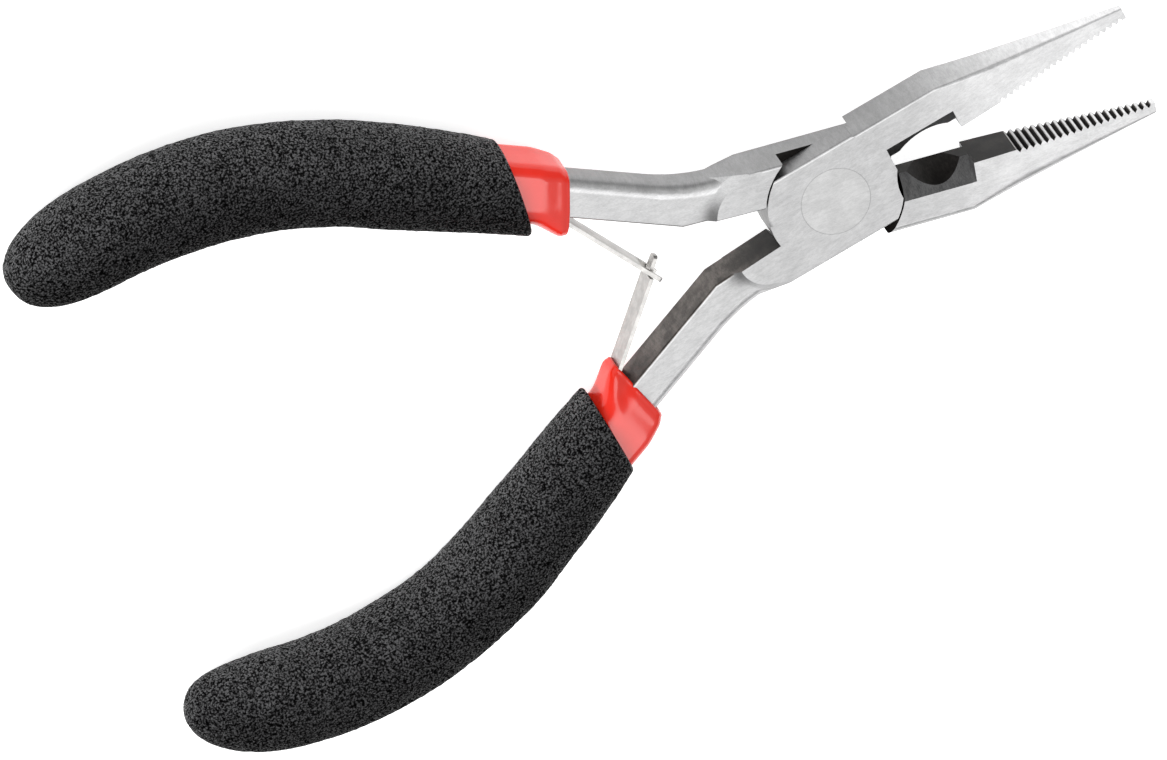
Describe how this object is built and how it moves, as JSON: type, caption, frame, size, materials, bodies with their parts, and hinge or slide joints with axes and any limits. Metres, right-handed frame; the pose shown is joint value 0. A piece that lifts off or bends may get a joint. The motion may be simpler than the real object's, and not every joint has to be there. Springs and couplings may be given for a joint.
{
  "type": "needle nose pliers",
  "caption": "Small long nose pliers with side cutters, lapped riveted joint, crossed leaf return springs, red vinyl sleeves and black foam grips.",
  "frame": {"origin": "on the pivot axis, at the back face of the joint", "axes": "+X along the centre line to the jaw tips, +Z along the pivot axis out of the front face, +Y towards the front lever's jaw"},
  "size_m": [0.1225, 0.0737, 0.0108],
  "materials": {
    "lever_steel": "ground and brushed lengthwise",
    "rivet_steel": "ground flush",
    "spring_steel": "rolled strip, satin",
    "sleeve_vinyl": "glossy dipped vinyl",
    "grip_foam": "grainy skinned foam rubber"
  },
  "bodies": {
    "front_lever": {"front_lever": "lever_steel", "pivot_rivet": "rivet_steel", "front_spring_foot": "spring_steel", "front_spring_rivet": "rivet_steel", "front_inner_sleeve": "sleeve_vinyl", "front_grip": "grip_foam"},
    "back_lever": {"back_lever": "lever_steel", "back_spring_foot": "spring_steel", "back_spring_rivet": "rivet_steel", "back_inner_sleeve": "sleeve_vinyl", "back_grip": "grip_foam"},
    "front_spring": {"front_spring_blade": "spring_steel"},
    "back_spring": {"back_spring_blade": "spring_steel"}
  },
  "joints": [
    {"name": "pivot", "type": "hinge", "parent": "front_lever", "child": "back_lever", "pos_m": [0, 0, 0], "axis": [0, 0, 1], "range_deg": [-5, 17], "stiffness_Nm_per_rad": 1},
    {"name": "front_spring_flex", "type": "hinge", "parent": "front_lever", "child": "front_spring", "pos_m": [-0.028, -0.0097, 0], "axis": [0, 0, 1], "range_deg": [-19, 6]},
    {"name": "back_spring_flex", "type": "hinge", "parent": "back_lever", "child": "back_spring", "pos_m": [-0.028, 0.0097, 0], "axis": [0, 0, 1], "range_deg": [-6, 19]}
  ],
  "couplings": [
    {"joint": "front_spring_flex", "follows": "pivot", "ratio": -1.1},
    {"joint": "back_spring_flex", "follows": "pivot", "ratio": 1.1}
  ]
}
